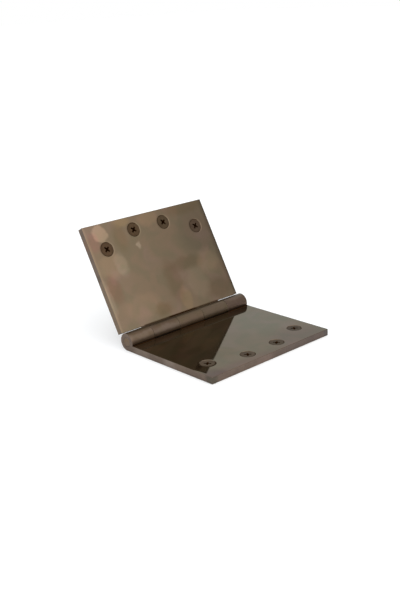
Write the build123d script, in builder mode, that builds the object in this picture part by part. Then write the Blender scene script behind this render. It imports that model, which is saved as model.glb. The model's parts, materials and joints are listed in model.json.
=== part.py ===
from build123d import *
import os
from math import radians, tan

# Wide throw hinge: two broad solid plates that turn on one flush pin.
#
# Millimetres. The fixed leaf lies flat on its back and the swing leaf stands open above it.
# The origin is the centre of the fixed leaf's back face. +X runs along the pin, +Y from the
# fixed leaf's free edge towards the pin, and +Z out of the fixed leaf's inner face.

# Whole hinge
hinge_length = 100.0  # along the pin
leaf_reach = 76.0  # from the pin's axis to the free edge of either leaf
leaf_thickness = 4.2
barrel_diameter = 11.2
opening_angle = 118.6  # between the inner faces as the hinge stands: 0 is closed, 180 flat
edge_rounding = 0.25  # where polishing has broken the outer edges

# Knuckles
middle_knuckle_length = 21.0
side_knuckle_length = 21.5
knuckle_gap = 0.15  # between the ends of two neighbouring knuckles
knuckle_rounding = 0.12
barrel_relief = 0.55  # from the barrel to a leaf's edge where the other leaf's knuckle turns
middle_relief = 0.25  # the same at the middle knuckle, where no light shows past the barrel

# Pin
pin_diameter = 6.0
pin_running_clearance = 0.04  # on the radius, in the swing leaf's knuckles
pin_end_chamfer = 0.2

# Screw holes, in a shallow arc along the free edge of each leaf
end_hole_inset = 12.5  # from the leaf's ends
outer_hole_inset = 17.0  # from the free edge
inner_hole_inset = 9.0
countersink_diameter = 9.7
countersink_angle = 90.0

# Screws
screw_diameter = 4.8
screw_hole_clearance = 0.2  # on the radius
screw_head_diameter = 9.2
screw_head_rim = 0.15
screw_end_inset = 0.3  # how far the screw's end stays inside the leaf's back
screw_end_chamfer = 0.4
cross_width = 4.5
cross_slot = 1.15
cross_core = 2.2  # the square where the slots meet, its corners in line with them
cross_depth = 2.2
cross_taper = 26.5  # slope of the slots' ends from the screw's axis
cross_turns = (40.0, 47.0, 36.0, 51.0)  # how far each screw was turned as it was driven

barrel_radius = barrel_diameter / 2
pin_radius = pin_diameter / 2

# Heights on a leaf's plane, whose z is 0 at the pin's axis
back_face_height = -barrel_radius
inner_face_height = back_face_height + leaf_thickness

# Where each leaf is cut away for the other's knuckles: from and to along the pin, and the relief
barrel_end = hinge_length / 2
middle_split = middle_knuckle_length / 2
side_split = middle_split + side_knuckle_length
half_gap = knuckle_gap / 2
fixed_leaf_slots = (
    (-side_split - half_gap, -middle_split + half_gap, barrel_relief),
    (middle_split - half_gap, side_split + half_gap, barrel_relief),
)
swing_leaf_slots = (
    (-barrel_end, -side_split + half_gap, barrel_relief),
    (-middle_split - half_gap, middle_split + half_gap, middle_relief),
    (side_split - half_gap, barrel_end, barrel_relief),
)

# A leaf's plane has its origin at the middle of the pin, x along the pin, y towards the leaf's
# free edge and z out of the leaf's inner face.
pin_middle = Vector(0, leaf_reach / 2, barrel_radius)
fixed_plane = Plane(origin=pin_middle, x_dir=(-1, 0, 0), z_dir=(0, 0, 1))
flat_open_plane = Plane(origin=pin_middle, x_dir=(1, 0, 0), z_dir=(0, 0, 1))
swing_plane = flat_open_plane.rotated((180 - opening_angle, 0, 0))

# A countersunk head stops where the countersink is as wide as the head
cone_slope = tan(radians(countersink_angle / 2))
head_seat_depth = (countersink_diameter - screw_head_diameter) / 2 / cone_slope
head_top_depth = head_seat_depth - screw_head_rim
head_cone_height = (screw_head_diameter - screw_diameter) / 2 / cone_slope


def hole_planes(leaf_plane):
    """The planes of a leaf's countersinks, on its inner face, in order along +X."""
    insets = (outer_hole_inset, inner_hole_inset, inner_hole_inset, outer_hole_inset)
    first_hole = end_hole_inset - barrel_end
    pitch = -2 * first_hole / (len(insets) - 1)
    planes = []
    for i, inset in enumerate(insets):
        place = Location((first_hole + i * pitch, leaf_reach - inset, inner_face_height))
        planes.append(leaf_plane.moved(place))
    return sorted(planes, key=lambda plane: plane.origin.X)


def make_leaf(plane, slots, bore_radius):
    """One solid leaf: its plate and knuckles, slotted where the other leaf's knuckles turn."""
    with BuildPart() as leaf:
        with BuildSketch(plane.moved(Plane.YZ)):
            Circle(barrel_radius)
            with Locations((0, back_face_height)):
                Rectangle(leaf_reach, leaf_thickness, align=(Align.MIN, Align.MIN))
        extrude(amount=barrel_end, both=True)

        with BuildSketch(plane):
            for start, end, relief in slots:
                with Locations(((start + end) / 2, 0)):
                    Rectangle(end - start, 2 * (barrel_radius + relief))
        extrude(amount=barrel_diameter, both=True, mode=Mode.SUBTRACT)

        # Polished edges, all round the plate's ends and free edge, then on the knuckles' ends
        end_faces = leaf.faces().filter_by(Axis.X).group_by(Axis.X)
        free_face = leaf.faces().sort_by(Axis(plane.origin, plane.y_dir))[-1]
        fillet(set(end_faces[0].edges() + end_faces[-1].edges() + free_face.edges()), edge_rounding)
        inner_ends = leaf.faces().filter_by(Axis.X).group_by(Axis.X)[1:-1]
        for ends in inner_ends:
            fillet(ends.edges().filter_by(GeomType.CIRCLE), knuckle_rounding)

        with BuildSketch(plane.moved(Plane.YZ)):
            Circle(bore_radius)
        extrude(amount=barrel_end, both=True, mode=Mode.SUBTRACT)

        with Locations(hole_planes(plane)):
            CounterSinkHole(
                screw_diameter / 2 + screw_hole_clearance,
                countersink_diameter / 2,
                depth=leaf_thickness,
                counter_sink_angle=countersink_angle,
            )
    return leaf


def make_cross(plane):
    """The room that a cross recess takes below a plane: two slots that meet in a fuller core."""
    with BuildPart() as cross:
        with BuildSketch(plane):
            Rectangle(cross_width, cross_slot)
            Rectangle(cross_slot, cross_width)
            Rectangle(cross_core, cross_core, rotation=45)
        extrude(amount=-cross_depth)
        with Locations(plane):
            Cone(
                cross_width / 2 - cross_depth * tan(radians(cross_taper)),
                cross_width / 2,
                cross_depth,
                align=(Align.CENTER, Align.CENTER, Align.MAX),
                mode=Mode.INTERSECT,
            )
    return cross


def make_screw(seat, turn):
    """One countersunk screw in a hole, its end inside the leaf's back."""
    end_depth = leaf_thickness - screw_end_inset
    screw_radius = screw_diameter / 2
    cross = make_cross(seat.offset(-head_top_depth).moved(Rotation(0, 0, turn)))
    with BuildPart() as screw:
        with BuildSketch(seat.moved(Plane.XZ)):
            with BuildLine():
                Polyline(
                    (0, -head_top_depth),
                    (screw_head_diameter / 2, -head_top_depth),
                    (screw_head_diameter / 2, -head_seat_depth),
                    (screw_radius, -head_seat_depth - head_cone_height),
                    (screw_radius, -end_depth + screw_end_chamfer),
                    (screw_radius - screw_end_chamfer, -end_depth),
                    (0, -end_depth),
                    close=True,
                )
            make_face()
        revolve(axis=Axis(seat.origin, seat.z_dir))
        add(cross.part, mode=Mode.SUBTRACT)
    return screw


os.makedirs("parts", exist_ok=True)

fixed_leaf = make_leaf(fixed_plane, fixed_leaf_slots, pin_radius)
fixed_leaf.part.label = "fixed_leaf"
export_step(fixed_leaf.part, "parts/fixed_leaf.step")

swing_leaf = make_leaf(swing_plane, swing_leaf_slots, pin_radius + pin_running_clearance)
swing_leaf.part.label = "swing_leaf"
export_step(swing_leaf.part, "parts/swing_leaf.step")

with BuildPart() as hinge_pin:
    with BuildSketch(Plane.YZ.offset(-barrel_end)):
        with Locations((pin_middle.Y, pin_middle.Z)):
            Circle(pin_radius)
    extrude(amount=hinge_length)
    chamfer(hinge_pin.edges().filter_by(GeomType.CIRCLE), pin_end_chamfer)
hinge_pin.part.label = "hinge_pin"
export_step(hinge_pin.part, "parts/hinge_pin.step")

for leaf_name, leaf_plane in (("fixed", fixed_plane), ("swing", swing_plane)):
    for number, (seat, turn) in enumerate(zip(hole_planes(leaf_plane), cross_turns), start=1):
        screw = make_screw(seat, turn)
        screw.part.label = f"{leaf_name}_screw_{number}"
        export_step(screw.part, f"parts/{leaf_name}_screw_{number}.step")
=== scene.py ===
import json
from math import pi, radians
from typing import NamedTuple

import bpy
from mathutils import Matrix, Vector


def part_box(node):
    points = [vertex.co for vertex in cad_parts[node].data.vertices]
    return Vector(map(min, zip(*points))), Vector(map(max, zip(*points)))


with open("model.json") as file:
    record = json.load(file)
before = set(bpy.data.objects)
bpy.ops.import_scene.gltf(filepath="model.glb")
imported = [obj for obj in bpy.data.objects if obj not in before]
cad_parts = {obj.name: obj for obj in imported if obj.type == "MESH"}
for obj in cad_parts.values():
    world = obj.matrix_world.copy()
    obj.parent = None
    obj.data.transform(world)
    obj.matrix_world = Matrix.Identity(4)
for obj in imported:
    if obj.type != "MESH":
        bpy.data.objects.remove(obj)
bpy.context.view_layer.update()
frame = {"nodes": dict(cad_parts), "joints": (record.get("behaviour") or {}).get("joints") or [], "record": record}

# The wide throw hinge's finishes, light and camera.
#
# Metres, in the frame of the hinge: the pin runs along X, and the fixed leaf lies flat on the
# floor with its back at z = 0. Shaders work in millimetres. On each leaf, "along" is the place
# along the pin from its middle, "out" the distance from the pin's axis towards the leaf's free
# edge, and "above" the height over the pin's axis, out of the leaf's inner face. A pair whose
# name ends in "span" says where something begins and where it is full.

# Camera, at the photograph's viewing angle
camera_place = Vector((-0.3627, -0.3783, 0.2085))
camera_heading = 42.0  # turned from +Y towards +X
camera_dip = 18.92  # below the horizon
camera_roll = 2.66
lens_length = 54.43
sensor_length = 36.0  # along the picture's long side

# Metal: colour seen face on, and the tint of its glancing reflections
brown_bronze = (0.182, 0.130, 0.085)
olive_bronze = (0.162, 0.125, 0.080)
pink_bronze = (0.196, 0.135, 0.097)
edge_bronze = (0.150, 0.112, 0.088)
barrel_bronze = (0.112, 0.078, 0.052)
barrel_pink_bronze = (0.119, 0.081, 0.058)
pin_brown = (0.156, 0.108, 0.068)
head_bronze = (0.092, 0.060, 0.035)
# Painted shade: a dark brown laid into creases, on slots' sides and in screw heads' recesses and rims
painted_shade = (0.024, 0.008, 0.001)
glancing_tint = (0.71, 0.74, 0.72)
face_roughness = 0.045
edge_roughness = 0.24
barrel_roughness = 0.36
head_roughness = 0.50
pin_roughness = 0.28
painted_shade_roughness = 0.70


class Clouds(NamedTuple):
    """Soft clouds: how wide they are, in millimetres, and the noise that shapes them."""

    size: float
    start: float  # the height of the noise, from 0 to 1, where a cloud begins
    end: float  # and where it is full
    detail: float = 3.0
    roughness: float = 0.5
    distortion: float = 0.0


# Clouds of a second colour, and smears that make a leaf's face more rough where they are, and
# less rough between them
olive_clouds = Clouds(16.0, 0.38, 0.62, distortion=0.6)
pink_clouds = Clouds(22.0, 0.50, 0.72, distortion=0.4)
pink_clouds_shift = (170.0, 60.0, 20.0)  # so that they don't follow the olive ones
barrel_clouds = Clouds(8.0, 0.40, 0.60)
edge_clouds = Clouds(8.0, 0.35, 0.65)
pin_clouds = Clouds(2.0, 0.35, 0.65)
head_clouds = Clouds(2.5, 0.30, 0.70)
face_smears = Clouds(9.0, 0.30, 0.70, detail=4.0, roughness=0.6)
clean_roughness_gain = 0.8
smeared_roughness_gain = 1.25

# How much of the red, green and blue is given back, beside the metal round them, by wear at the edges with its
# painted highlight, by the clouds on the edge faces and by the clouds on a screw's head
worn_highlight_gain = (1.12, 1.10, 1.08)
edge_clouds_gain = (0.84, 0.84, 0.86)
head_clouds_gain = 0.8

# Where a leaf's finishes change: how far outside the barrel, in millimetres, and how squarely a
# surface faces a direction, from 0 to 1
barrel_span = (0.25, 0.05)
edge_facing_span = (0.5, 0.85)
face_facing_span = (0.8, 0.97)

# How polishing has shaped the plates' faces, in millimetres: they fall a little towards their
# free edges, and are rounded down at their ends and holes
crown_fall = 0.5  # over the leaf's reach
end_roll_off_width = 2.0
hole_roll_off_width = 1.0
roll_off_slope = 0.06  # at the very edge
wear_highlight_span = (0.5, 0.0)  # from the edge, where the painted highlight is brightest
countersink_radius = 4.85  # as modelled

# Painted shade in the crease between a leaf's face and the barrel, in millimetres: how far out from the
# barrel it reaches, and how far from the leaf's middle it is at its darkest, and goes at all
creases = {"fixed_leaf": (2.0, 50.0, 50.0), "swing_leaf": (1.4, 10.6, 31.0)}
crease_core = 0.4  # the share of its reach, next to the barrel, over which it is full
crease_fade_length = 2.0  # along the pin
outer_crease_gain = 0.75  # beyond its darkest part

# Painted shade on a screw's head, in millimetres: in its recess, by the depth below the head's top, and
# round its rim, by the distance from the screw's axis
recess_depth = 2.2
recess_top_span = (0.03, 0.3)
recess_floor_span = (0.6, 0.2)  # below the recess
rim_span = (4.1, 4.5)
rim_shade_share = 0.6
thick_shade_span = (0.6, 1.0)  # the shares of painted shade over which the metal under it is hidden

# Soft patches that are lighter, darker or tinted. Each has its place along and out, its half
# widths along and out, in millimetres, how soft its edge is, from 0 to 1, and how much of the
# red, green and blue it gives back. These are on the leaves' inner faces.
face_patches = {
    "fixed_leaf": (
        ((-22.0, 77.0), (32.0, 7.0), 0.90, (0.96, 0.86, 0.92)),
        ((29.0, 70.0), (19.0, 14.0), 0.90, (0.93, 0.87, 0.96)),
        ((-20.0, 54.0), (9.0, 8.0), 0.90, (0.98, 0.94, 0.90)),
        ((34.0, 34.0), (22.0, 18.0), 0.90, (1.04, 1.08, 1.12)),
        ((-46.0, 74.0), (8.0, 7.0), 0.80, (0.74, 0.72, 0.76)),
        ((0.0, 11.5), (40.0, 4.0), 0.90, (1.30, 1.25, 1.22)),
    ),
    "swing_leaf": (
        ((-38.8, 69.5), (5.3, 5.5), 0.40, (1.58, 1.52, 1.54)),
        ((-45.5, 65.0), (4.0, 6.0), 0.90, (1.12, 0.95, 1.02)),
        ((-37.5, 47.5), (11.0, 7.5), 0.50, (1.17, 1.14, 1.10)),
        ((-31.5, 47.0), (4.8, 7.5), 0.60, (1.18, 1.18, 1.26)),
        ((-31.5, 43.0), (4.0, 3.2), 0.90, (0.89, 0.98, 0.92)),
        ((-43.0, 33.0), (5.0, 9.0), 0.80, (1.00, 0.86, 0.86)),
        # A painted highlight: the light strip along the rounded left end
        ((-48.5, 28.0), (1.9, 11.0), 0.80, (1.22, 1.22, 1.28)),
        ((-12.8, 56.3), (1.8, 2.2), 0.70, (1.48, 1.54, 1.66)),
        ((-27.0, 17.5), (14.0, 8.0), 0.70, (1.16, 1.11, 1.10)),
        ((-13.0, 12.0), (6.5, 4.5), 0.90, (0.88, 0.83, 0.76)),
        ((3.0, 27.0), (6.0, 14.0), 0.90, (0.88, 0.84, 0.80)),
        ((7.5, 14.0), (4.5, 8.0), 0.60, (1.18, 1.14, 1.06)),
        ((22.0, 22.0), (8.5, 10.5), 0.60, (1.12, 1.15, 1.17)),
        ((18.0, 36.5), (14.0, 4.5), 0.90, (0.86, 0.84, 0.80)),
        ((36.0, 34.0), (8.5, 8.0), 0.80, (1.22, 1.20, 1.18)),
        ((38.0, 14.0), (10.0, 7.0), 0.80, (0.86, 0.84, 0.82)),
        ((37.0, 55.0), (15.0, 17.0), 0.90, (0.86, 0.88, 0.90)),
        ((32.0, 74.0), (18.0, 5.0), 0.90, (0.92, 0.88, 0.82)),
        # Painted shade: the dark strip along the rounded right end
        ((49.5, 40.0), (2.8, 45.0), 0.90, (0.80, 0.79, 0.82)),
        ((-25.0, 64.0), (5.0, 9.0), 0.90, (0.93, 0.90, 0.84)),
        ((-20.0, 74.0), (6.0, 3.5), 0.90, (1.22, 1.18, 1.04)),
        ((0.5, 72.0), (8.0, 4.5), 0.90, (1.26, 1.16, 1.12)),
    ),
}

# The same on the faces round a leaf's edge
edge_patches = {
    "fixed_leaf": (
        ((-7.0, 76.0), (7.0, 20.0), 0.90, (1.20, 1.17, 1.20)),
        ((28.0, 76.0), (20.0, 20.0), 0.70, (0.86, 0.88, 0.95)),
        ((49.5, 76.0), (3.5, 20.0), 0.90, (0.82, 0.90, 0.98)),
        ((-50.0, 75.0), (4.0, 4.0), 0.90, (0.68, 0.76, 0.74)),
        ((-50.0, 39.0), (4.0, 5.0), 0.90, (1.24, 1.30, 1.36)),
        ((-50.0, 14.0), (4.0, 6.5), 0.90, (1.22, 1.26, 1.26)),
    ),
    "swing_leaf": (
        ((-50.0, 20.0), (4.0, 19.0), 0.50, (1.24, 1.22, 1.08)),
        ((-50.0, 42.5), (4.0, 2.2), 0.90, (0.80, 0.82, 0.82)),
        ((-50.0, 64.5), (4.0, 3.0), 0.90, (1.22, 1.07, 0.96)),
    ),
}

# And on the knuckles: one patch over all of each gives that knuckle its own colour, and the narrow bands round the
# barrel are painted highlights and painted shade
knuckle_tones_and_painted_light = {
    "fixed_leaf": (
        ((-42.0, 0.0), (14.0, 76.0), 0.20, (1.16, 1.17, 1.16)),
        ((-42.0, 4.1), (14.0, 0.8), 0.90, (1.12, 1.15, 1.20)),
        ((-42.0, 1.8), (14.0, 1.0), 0.90, (0.90, 0.86, 0.80)),
        ((0.0, 0.0), (14.0, 76.0), 0.20, (1.06, 1.08, 1.03)),
        ((42.0, 0.0), (14.0, 76.0), 0.20, (1.00, 0.98, 1.02)),
        ((42.0, 4.3), (14.0, 1.4), 0.90, (0.91, 0.91, 0.97)),
        ((42.0, 1.5), (14.0, 1.4), 0.90, (1.15, 1.20, 1.26)),
    ),
    "swing_leaf": (
        ((-21.0, 0.0), (14.0, 76.0), 0.20, (1.01, 1.02, 1.01)),
        ((-21.0, 0.0), (14.0, 1.6), 0.90, (1.15, 1.21, 1.28)),
        ((-21.0, 3.6), (14.0, 1.0), 0.90, (0.92, 0.88, 0.82)),
        ((21.0, 0.0), (14.0, 76.0), 0.20, (0.97, 1.03, 0.99)),
        ((21.0, 4.5), (14.0, 0.9), 0.90, (1.20, 1.18, 1.16)),
    ),
}

# The patches' outlines bend: how wide the bends are, in millimetres, how finely they are broken
# up, and over what width they go to and fro
bend_size = 5.0
bend_detail = 2.0
bend_width = 4.0

# How much of the red, green and blue each screw's head gives back beside the others, in order
# along the pin. This is partly painted light: the light each head catches is painted into it
head_tones_and_light = {
    "fixed_leaf": ((1.45, 1.55, 1.75), (1.22, 1.24, 1.34), (1.06, 1.07, 1.12), (0.98, 1.00, 1.10)),
    "swing_leaf": ((0.98, 0.92, 0.90), (0.98, 0.95, 0.92), (0.92, 0.95, 0.96), (0.95, 0.97, 1.10)),
}

# Light tent: how bright its parts are, and the parts of a direction, along the axis that is
# named, over which one turns into the next
wall_brightness = 1.0
ceiling_brightness = 1.26
ceiling_span = (0.75, 1.0)  # Z
front_left_brightness = 1.86
front_right_brightness = 0.42
front_span = (0.0, -0.3)  # Y, from the side walls to the front wall
front_right_span = (0.40, 0.80)  # X
opening_brightness = 0.30  # low in front, where the tent is open
opening_end_span = (0.0, 0.27)  # Z
white = (1.0, 1.0, 1.0)
back_wall_colour = (0.96, 1.03, 1.10)
back_wall_span = (0.2, 0.6)  # Y

# Floor
floor_colour = (0.70, 0.70, 0.70)
floor_glow = 0.32  # lit from below like a light table, which keeps the shades on it soft
floor_width = 12.0
floor_drop = 0.0001  # below the fixed leaf's back, so that the two faces don't coincide

# Places on the hinge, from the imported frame, in millimetres
millimetre = 0.001
pin_direction = Vector((1.0, 0.0, 0.0))
pin_place = Vector(frame["joints"][0]["pos_m"]) / millimetre
mounts = {mount["name"]: mount for mount in frame["record"]["mounts"]}
leaf_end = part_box("fixed_leaf")[1].x / millimetre
leaf_reach = pin_place.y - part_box("fixed_leaf")[0].y / millimetre
barrel_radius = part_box("fixed_leaf")[1].z / millimetre - pin_place.z


def leaf_directions(leaf):
    """A leaf's directions along the pin, out to its free edge and out of its inner face."""
    mount = mounts[f"{leaf}_back"]
    face_direction = -Vector(mount["axis"]).normalized()
    to_back = Vector(mount["pos_m"]) / millimetre - pin_place
    out_direction = (to_back - to_back.dot(face_direction) * face_direction).normalized()
    return pin_direction, out_direction, face_direction


def screw_place(screw, leaf):
    """Where the middle of a screw's head is: along, out and above on its leaf."""
    corners = [vertex.co / millimetre - pin_place for vertex in frame["nodes"][screw].data.vertices]
    along, out, above = (
        [corner.dot(direction) for corner in corners] for direction in leaf_directions(leaf)
    )
    return (min(along) + max(along)) / 2, (min(out) + max(out)) / 2, max(above)


def screws_of(leaf):
    """The names of a leaf's screws."""
    start = leaf.replace("leaf", "screw")
    return [node for node in frame["nodes"] if node.startswith(start)]


class Shader:
    """A node tree, with methods that add nodes to it and return the socket they end in."""

    def __init__(self, tree):
        self.tree = tree

    def link(self, socket, value):
        """Gives a socket its value: another node's socket, a colour, a vector or a number."""
        if isinstance(value, bpy.types.NodeSocket):
            self.tree.links.new(value, socket)
        elif isinstance(value, tuple) and socket.type == "RGBA":
            socket.default_value = (*value, 1.0)
        else:
            socket.default_value = value

    def add(self, kind, inputs, **settings):
        """A new node of a kind, with its inputs and settings."""
        node = self.tree.nodes.new(kind)
        for name, value in settings.items():
            setattr(node, name, value)
        for name, value in inputs.items():
            self.link(node.inputs[name], value)
        return node

    def maths(self, operation, first, second=0.0):
        return self.add("ShaderNodeMath", {0: first, 1: second}, operation=operation).outputs[0]

    def product(self, first, *others):
        for other in others:
            first = self.maths("MULTIPLY", first, other)
        return first

    def smallest(self, first, *others):
        for other in others:
            first = self.maths("MINIMUM", first, other)
        return first

    def excess(self, first, second):
        """How much larger first is than second, or 0 where it is smaller."""
        return self.maths("MAXIMUM", self.maths("SUBTRACT", first, second), 0.0)

    def vector(self, operation, first, second):
        node = self.add("ShaderNodeVectorMath", {0: first, 1: second}, operation=operation)
        return node.outputs["Value" if operation in ("DOT_PRODUCT", "DISTANCE") else "Vector"]

    def length(self, vector):
        return self.vector("DISTANCE", vector, (0.0, 0.0, 0.0))

    def parts(self, vector):
        """A vector's parts, by the names X, Y and Z."""
        return self.add("ShaderNodeSeparateXYZ", {0: vector}).outputs

    def millimetres(self):
        """The point on the piece, in millimetres in the hinge's frame at rest."""
        coordinates = self.add("ShaderNodeTexCoord", {})
        return self.vector("MULTIPLY", coordinates.outputs["Object"], (1 / millimetre,) * 3)

    def place_on(self, leaf):
        """The point's place on a leaf: along, out and above, in millimetres."""
        from_pin = self.vector("SUBTRACT", self.millimetres(), tuple(pin_place))
        parts = [self.vector("DOT_PRODUCT", from_pin, tuple(way)) for way in leaf_directions(leaf)]
        return self.add("ShaderNodeCombineXYZ", dict(enumerate(parts))).outputs[0]

    def flat(self, place):
        """A place on a leaf without its part above."""
        return self.vector("MULTIPLY", place, (1.0, 1.0, 0.0))

    def facing(self, direction):
        """How far the surface faces a direction: 1 straight, 0 side on, -1 away."""
        coordinates = self.add("ShaderNodeTexCoord", {})
        return self.vector("DOT_PRODUCT", coordinates.outputs["Normal"], tuple(direction))

    def noise(self, place, size, detail, roughness=0.5, distortion=0.0, output="Fac"):
        """Soft noise from 0 to 1 whose patches are about size millimetres wide."""
        inputs = {
            "Vector": place,
            "Scale": 1.0 / size,
            "Detail": detail,
            "Roughness": roughness,
            "Distortion": distortion,
        }
        return self.add("ShaderNodeTexNoise", inputs).outputs[output]

    def clouds(self, place, kind):
        """How far inside a kind of clouds a place is, from 0 to 1."""
        height = self.noise(place, kind.size, kind.detail, kind.roughness, kind.distortion)
        return self.fade(height, (kind.start, kind.end))

    def fade(self, value, span, first=0.0, last=1.0):
        """first where value is at the span's start, last at its end, and smooth between."""
        start, end = span
        inputs = {
            "Value": value,
            "From Min": start,
            "From Max": end,
            "To Min": first,
            "To Max": last,
        }
        node = self.add("ShaderNodeMapRange", inputs, interpolation_type="SMOOTHSTEP")
        return node.outputs["Result"]

    def blend(self, share, first, second):
        """A number that is first where share is 0 and second where it is 1."""
        return self.add("ShaderNodeMix", {0: share, 2: first, 3: second}).outputs[0]

    def mix(self, share, first, second, blend_type="MIX"):
        """A colour that is first where share is 0 and second where it is 1."""
        inputs = {0: share, 6: first, 7: second}
        return self.add("ShaderNodeMix", inputs, data_type="RGBA", blend_type=blend_type).outputs[2]

    def tint(self, share, colour, gain):
        """A colour that is multiplied by a gain where share is 1."""
        return self.mix(share, colour, gain, "MULTIPLY")

    def bump(self, height):
        """A normal tilted by a height in millimetres."""
        inputs = {"Height": height, "Distance": millimetre}
        return self.add("ShaderNodeBump", inputs).outputs["Normal"]


def set_surface(material, inputs):
    """Gives a material's surface its inputs, by their names."""
    shader = Shader(material.node_tree)
    surface = material.node_tree.nodes["Principled BSDF"]
    for name, value in inputs.items():
        shader.link(surface.inputs[name], value)
    return material


def new_material(name, inputs):
    material = bpy.data.materials.new(name)
    material.use_nodes = True
    return set_surface(material, inputs)


def new_metal(name):
    """A metal and its shader, without its colour and roughness yet."""
    inputs = {
        "Metallic": 1.0,
        "Specular Tint": glancing_tint,
        "Specular IOR Level": 0.0,  # the painted shade has no gloss
    }
    material = new_material(name, inputs)
    return material, Shader(material.node_tree)


def with_painted_shade(shader, shade_share, colour, roughness):
    """A metal's inputs where a share of it is painted dark as shade. Where that share is large, the metal is
    hidden.
    """
    return {
        "Base Color": shader.mix(shade_share, colour, painted_shade),
        "Roughness": shader.blend(shade_share, roughness, painted_shade_roughness),
        "Metallic": shader.fade(shade_share, thick_shade_span, 1.0, 0.0),
    }


def distance_from_hole(shader, place, leaf):
    """How far a point of a leaf is from the nearest countersink, in millimetres."""
    flat_place = shader.flat(place)
    nearest = leaf_reach
    for screw in screws_of(leaf):
        along, out, _ = screw_place(screw, leaf)
        from_middle = shader.vector("DISTANCE", flat_place, (along, out, 0.0))
        nearest = shader.smallest(nearest, from_middle)
    return shader.excess(nearest, countersink_radius)


def fall_near(shader, distance, width):
    """How far a face is rounded down at a distance from its edge, in millimetres."""
    rolled = shader.excess(width, distance)
    return shader.product(rolled, rolled, roll_off_slope / width / 2)


def leaf_fall(shader, out, from_end, from_hole):
    """How far polishing has lowered a leaf's face, in millimetres."""
    share_out = shader.maths("DIVIDE", out, leaf_reach)
    crown = shader.product(share_out, share_out, crown_fall)
    rolled = fall_near(shader, from_end, end_roll_off_width)
    dished = fall_near(shader, from_hole, hole_roll_off_width)
    return shader.maths("ADD", crown, shader.maths("ADD", rolled, dished))


def add_patches(shader, colour, place, share_of_all, patches):
    """A colour with soft patches, whose outlines bend a little."""
    bends = shader.noise(place, bend_size, bend_detail, output="Color")
    bends = shader.vector("SUBTRACT", bends, (0.5, 0.5, 0.5))  # the noise's middle
    bends = shader.vector("MULTIPLY", bends, (bend_width, bend_width, 0.0))
    place = shader.vector("ADD", shader.flat(place), bends)
    for (along, out), (half_along, half_out), softness, gain in patches:
        from_middle = shader.vector("SUBTRACT", place, (along, out, 0.0))
        scaled = shader.vector("MULTIPLY", from_middle, (1 / half_along, 1 / half_out, 0.0))
        share = shader.fade(shader.length(scaled), (1 + softness / 2, 1 - softness / 2))
        colour = shader.tint(shader.product(share, share_of_all), colour, gain)
    return colour


def leaf_surfaces(shader, leaf, place):
    """Shares from 0 to 1: on the barrel, on the edge faces, on the inner face, on a slot's side."""
    along_direction, out_direction, face_direction = leaf_directions(leaf)
    across = shader.vector("MULTIPLY", place, (0.0, 1.0, 1.0))
    span = tuple(barrel_radius + outside for outside in barrel_span)
    on_barrel = shader.fade(shader.length(across), span)
    off_barrel = shader.maths("SUBTRACT", 1.0, on_barrel)
    on_free_edge, on_slot = (
        shader.product(shader.fade(shader.facing(direction), edge_facing_span), off_barrel)
        for direction in (out_direction, -out_direction)
    )
    facing_end = shader.maths("ABSOLUTE", shader.facing(along_direction))
    on_edge = shader.maths("MAXIMUM", on_free_edge, shader.fade(facing_end, edge_facing_span))
    on_face = shader.fade(shader.facing(face_direction), face_facing_span)
    return on_barrel, on_edge, on_face, on_slot


def leaf_colour(shader, leaf, place, on_barrel, on_edge, on_face):
    """Soft clouds of brown, olive and pink, and the barrel's and the edge faces' own colours, with painted
    highlights and painted shade in bands round the barrel.
    """
    colour = shader.mix(shader.clouds(place, olive_clouds), brown_bronze, olive_bronze)
    shifted_place = shader.vector("ADD", place, pink_clouds_shift)
    colour = shader.mix(shader.clouds(shifted_place, pink_clouds), colour, pink_bronze)
    colour = add_patches(shader, colour, place, on_face, face_patches[leaf])

    in_cloud = shader.clouds(place, barrel_clouds)
    barrel_colour = shader.mix(in_cloud, barrel_bronze, barrel_pink_bronze)
    # Each knuckle's own colour, with painted highlights and painted shade in bands round the barrel
    barrel_colour = add_patches(shader, barrel_colour, place, 1.0, knuckle_tones_and_painted_light[leaf])
    colour = shader.mix(on_barrel, colour, barrel_colour)

    edge_colour = shader.tint(shader.clouds(place, edge_clouds), edge_bronze, edge_clouds_gain)
    edge_colour = add_patches(shader, edge_colour, place, 1.0, edge_patches[leaf])
    return shader.mix(on_edge, colour, edge_colour)


def crease_shade(shader, leaf, out, from_middle):
    """How much painted shade a leaf's face has in the crease beside its barrel, from 0 to 1."""
    reach, darkest_end, dark_end = creases[leaf]
    in_crease = shader.fade(out, (barrel_radius + reach, barrel_radius + crease_core * reach))
    past_darkest = (darkest_end, darkest_end + crease_fade_length)
    how_dark = shader.fade(from_middle, past_darkest, 1.0, outer_crease_gain)
    before_end = shader.fade(from_middle, (dark_end + crease_fade_length, dark_end))
    return shader.product(in_crease, how_dark, before_end)


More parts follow.
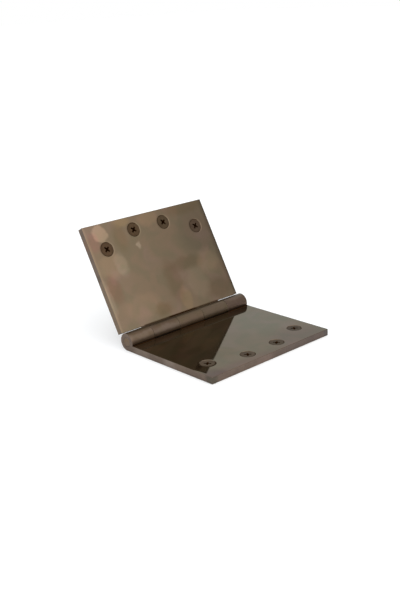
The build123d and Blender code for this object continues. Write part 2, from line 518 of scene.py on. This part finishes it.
def leaf_bronze(leaf):
    """Polished bronze, browned by handling, with a painted highlight and some wear at its edges, and painted shade
    in its creases and slots.
    """
    material, shader = new_metal(f"{leaf}_bronze")
    place = shader.place_on(leaf)
    parts = shader.parts(place)
    on_barrel, on_edge, on_face, on_slot = leaf_surfaces(shader, leaf, place)
    from_middle = shader.maths("ABSOLUTE", parts["X"])
    from_end = shader.excess(leaf_end, from_middle)
    from_free_edge = shader.excess(leaf_reach, parts["Y"])
    from_hole = distance_from_hole(shader, place, leaf)

    colour = leaf_colour(shader, leaf, place, on_barrel, on_edge, on_face)
    from_edges = shader.smallest(from_end, from_free_edge, from_hole)
    # A painted highlight, partly wear, along the face's ends, free edge and countersinks
    worn_highlight = shader.product(shader.fade(from_edges, wear_highlight_span), on_face)
    colour = shader.tint(worn_highlight, colour, worn_highlight_gain)

    # The barrel and the edge faces are less polished
    smeared = shader.clouds(place, face_smears)
    gain = shader.blend(smeared, clean_roughness_gain, smeared_roughness_gain)
    roughness = shader.product(gain, face_roughness)
    roughness = shader.blend(on_barrel, roughness, barrel_roughness)
    roughness = shader.blend(on_edge, roughness, edge_roughness)

    on_plate = shader.product(on_face, shader.maths("SUBTRACT", 1.0, on_barrel))
    # Painted shade in the crease beside the barrel
    in_crease = shader.product(crease_shade(shader, leaf, parts["Y"], from_middle), on_plate)
    # Painted shade also covers the slots' sides, between the knuckles
    shade_share = shader.maths("MAXIMUM", in_crease, on_slot)

    fall = leaf_fall(shader, parts["Y"], from_end, from_hole)
    inputs = with_painted_shade(shader, shade_share, colour, roughness)
    inputs["Normal"] = shader.bump(shader.maths("MULTIPLY", fall, -1.0))
    return set_surface(material, inputs)


def pin_bronze():
    """The pin's bronze, of which only its ends are seen."""
    material, shader = new_metal("pin_bronze")
    in_cloud = shader.clouds(shader.millimetres(), pin_clouds)
    colour = shader.mix(in_cloud, edge_bronze, pin_brown)
    return set_surface(material, {"Base Color": colour, "Roughness": pin_roughness})


def head_finish(screw, leaf, head_gain):
    """A screw's satin bronze, with painted shade in its recess and round its rim."""
    material, shader = new_metal(f"{screw}_bronze")
    place = shader.place_on(leaf)
    from_head = shader.vector("SUBTRACT", place, screw_place(screw, leaf))
    from_axis = shader.length(shader.flat(from_head))
    depth = shader.maths("MULTIPLY", shader.parts(from_head)["Z"], -1.0)

    light = tuple(part * gain for part, gain in zip(head_bronze, head_gain))
    dark = tuple(part * head_clouds_gain for part in light)
    colour = shader.mix(shader.clouds(place, head_clouds), light, dark)

    floor_span = tuple(recess_depth + below for below in recess_floor_span)
    # Painted shade in the recess and a painted shadow ring round the rim
    in_recess = shader.product(shader.fade(depth, recess_top_span), shader.fade(depth, floor_span))
    at_rim = shader.product(shader.fade(from_axis, rim_span), rim_shade_share)
    shade_share = shader.maths("MAXIMUM", in_recess, at_rim)
    return set_surface(material, with_painted_shade(shader, shade_share, colour, head_roughness))


def give_material(node, material):
    """Gives a node's mesh its material."""
    for slot in frame["nodes"][node].material_slots:
        slot.material = material


def make_floor():
    """A pale floor under the hinge, which glows a little."""
    half = floor_width / 2
    corners = [(-half, -half, 0), (half, -half, 0), (half, half, 0), (-half, half, 0)]
    mesh = bpy.data.meshes.new("floor")
    mesh.from_pydata(corners, [], [(0, 1, 2, 3)])
    floor = bpy.data.objects.new("floor", mesh)
    floor.location.z = -floor_drop
    bpy.context.collection.objects.link(floor)
    inputs = {
        "Base Color": floor_colour,
        "Roughness": 1.0,
        "Specular IOR Level": 0.0,
        "Emission Color": white,
        "Emission Strength": floor_glow,
    }
    mesh.materials.append(new_material("pale_floor", inputs))


def make_light():
    """A white tent, open low in front, whose front wall darkens towards +X."""
    world = bpy.data.worlds.new("light_tent")
    bpy.context.scene.world = world
    world.use_nodes = True
    tent = Shader(world.node_tree)
    parts = tent.parts(tent.add("ShaderNodeTexCoord", {}).outputs["Generated"])
    front_wall = tent.fade(
        parts["X"], front_right_span, front_left_brightness, front_right_brightness
    )
    opening = tent.fade(parts["Z"], opening_end_span, opening_brightness, 1.0)
    front_wall = tent.product(front_wall, opening)
    walls = tent.blend(tent.fade(parts["Y"], front_span), wall_brightness, front_wall)
    brightness = tent.blend(tent.fade(parts["Z"], ceiling_span), walls, ceiling_brightness)
    colour = tent.mix(tent.fade(parts["Y"], back_wall_span), white, back_wall_colour)

    # Behind the hinge the picture is plain white
    seen_straight = tent.add("ShaderNodeLightPath", {}).outputs["Is Camera Ray"]
    brightness = tent.blend(seen_straight, brightness, wall_brightness)
    colour = tent.mix(seen_straight, colour, white)
    background = world.node_tree.nodes["Background"]
    tent.link(background.inputs["Strength"], brightness)
    tent.link(background.inputs["Color"], colour)


def make_camera():
    """The photograph's camera, with the view's colours left as they are."""
    camera = bpy.data.objects.new("camera", bpy.data.cameras.new("camera"))
    bpy.context.collection.objects.link(camera)
    camera.data.lens = lens_length
    camera.data.sensor_width = sensor_length
    turn = Matrix.Rotation(radians(-camera_heading), 4, "Z")
    tilt = Matrix.Rotation(pi / 2 - radians(camera_dip), 4, "X")
    roll = Matrix.Rotation(radians(-camera_roll), 4, "Z")
    camera.matrix_world = Matrix.Translation(camera_place) @ turn @ tilt @ roll
    bpy.context.scene.camera = camera
    bpy.context.scene.view_settings.view_transform = "Standard"


for leaf in ("fixed_leaf", "swing_leaf"):
    give_material(leaf, leaf_bronze(leaf))
    for screw, head_gain in zip(screws_of(leaf), head_tones_and_light[leaf]):
        give_material(screw, head_finish(screw, leaf, head_gain))
give_material("hinge_pin", pin_bronze())

make_floor()
make_light()
make_camera()
